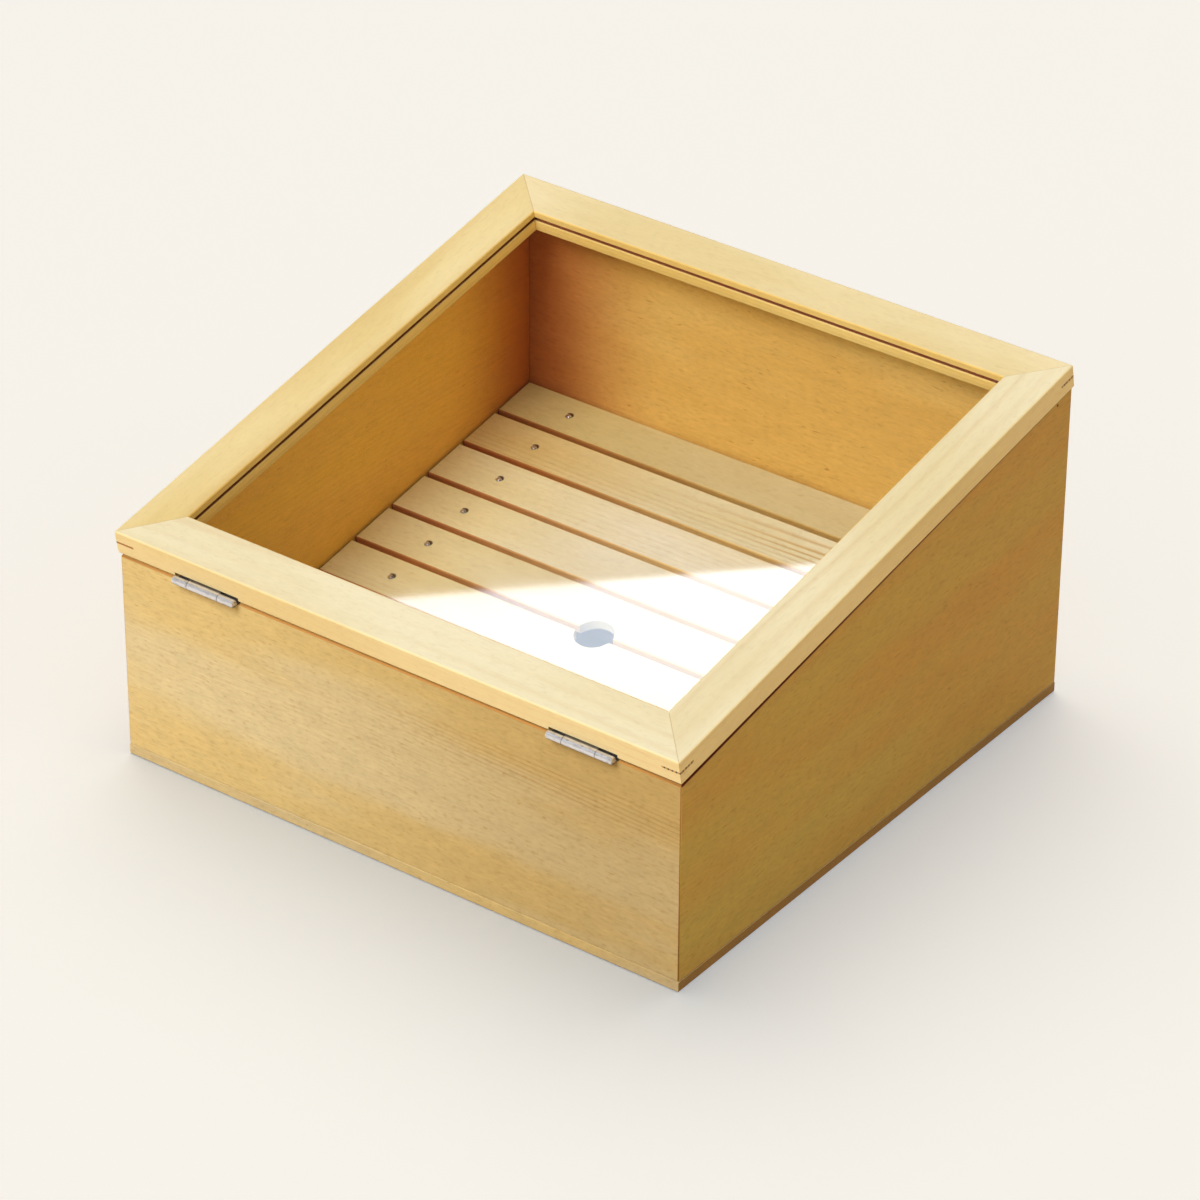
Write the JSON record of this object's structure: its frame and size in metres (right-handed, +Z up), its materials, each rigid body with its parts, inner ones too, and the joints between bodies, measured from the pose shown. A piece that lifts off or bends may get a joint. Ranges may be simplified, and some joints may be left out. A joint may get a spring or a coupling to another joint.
{
  "type": "tabletop display case",
  "caption": "Low softwood box with a sloping glazed lid on two butt hinges and a slanted slatted tray that lifts out by a finger hole.",
  "frame": {"origin": "middle of the underside of the bottom board, where the case rests", "axes": "+X to the right along the hinges, +Y from the low hinged front to the high back, +Z up"},
  "size_m": [0.4516, 0.4436, 0.2549],
  "materials": {
    "case_wood": "planed, bare, satin",
    "lid_wood": "planed, bare, satin",
    "slat_wood": "planed, bare",
    "key_wood": "dark hardwood, bare",
    "glass": "clear float glass",
    "hinge_steel": "plated, dull bright",
    "nail_steel": "bright wire nail"
  },
  "bodies": {
    "case": {"bottom_board": "case_wood", "front_board": "case_wood", "back_board": "case_wood", "left_side": "case_wood", "right_side": "case_wood", "left_hinge_case_leaf": "hinge_steel", "left_hinge_pin": "hinge_steel", "left_hinge_case_screw_1": "hinge_steel", "left_hinge_case_screw_2": "hinge_steel", "right_hinge_case_leaf": "hinge_steel", "right_hinge_pin": "hinge_steel", "right_hinge_case_screw_1": "hinge_steel", "right_hinge_case_screw_2": "hinge_steel"},
    "lid": {"lid_front_rail": "lid_wood", "lid_back_rail": "lid_wood", "lid_left_rail": "lid_wood", "lid_right_rail": "lid_wood", "corner_key_front_left": "key_wood", "corner_key_front_right": "key_wood", "corner_key_back_left": "key_wood", "corner_key_back_right": "key_wood", "glass_pane": "glass", "left_hinge_lid_leaf": "hinge_steel", "left_hinge_lid_screw_1": "hinge_steel", "left_hinge_lid_screw_2": "hinge_steel", "right_hinge_lid_leaf": "hinge_steel", "right_hinge_lid_screw_1": "hinge_steel", "right_hinge_lid_screw_2": "hinge_steel"},
    "tray": {"slat_1": "slat_wood", "slat_2": "slat_wood", "slat_3": "slat_wood", "slat_4": "slat_wood", "slat_5": "slat_wood", "slat_6": "slat_wood", "slat_7": "slat_wood", "slat_8": "slat_wood", "slat_9": "slat_wood", "slat_10": "slat_wood", "left_bearer": "slat_wood", "right_bearer": "slat_wood", "slat_nail_left_1": "nail_steel", "slat_nail_left_2": "nail_steel", "slat_nail_left_3": "nail_steel", "slat_nail_left_4": "nail_steel", "slat_nail_left_5": "nail_steel", "slat_nail_left_6": "nail_steel", "slat_nail_left_7": "nail_steel", "slat_nail_left_8": "nail_steel", "slat_nail_left_9": "nail_steel", "slat_nail_left_10": "nail_steel", "slat_nail_right_1": "nail_steel", "slat_nail_right_2": "nail_steel", "slat_nail_right_3": "nail_steel", "slat_nail_right_4": "nail_steel", "slat_nail_right_5": "nail_steel", "slat_nail_right_6": "nail_steel", "slat_nail_right_7": "nail_steel", "slat_nail_right_8": "nail_steel", "slat_nail_right_9": "nail_steel", "slat_nail_right_10": "nail_steel"}
  },
  "joints": [
    {"name": "lid_hinge", "type": "hinge", "parent": "case", "child": "lid", "pos_m": [0, -0.22185, 0.15584], "axis": [1, 0, 0], "range_deg": [0, 187.5]},
    {"name": "tray_lift", "type": "slide", "parent": "case", "child": "tray", "axis": [0, 0, 1], "range_m": [0, 0.12]}
  ]
}
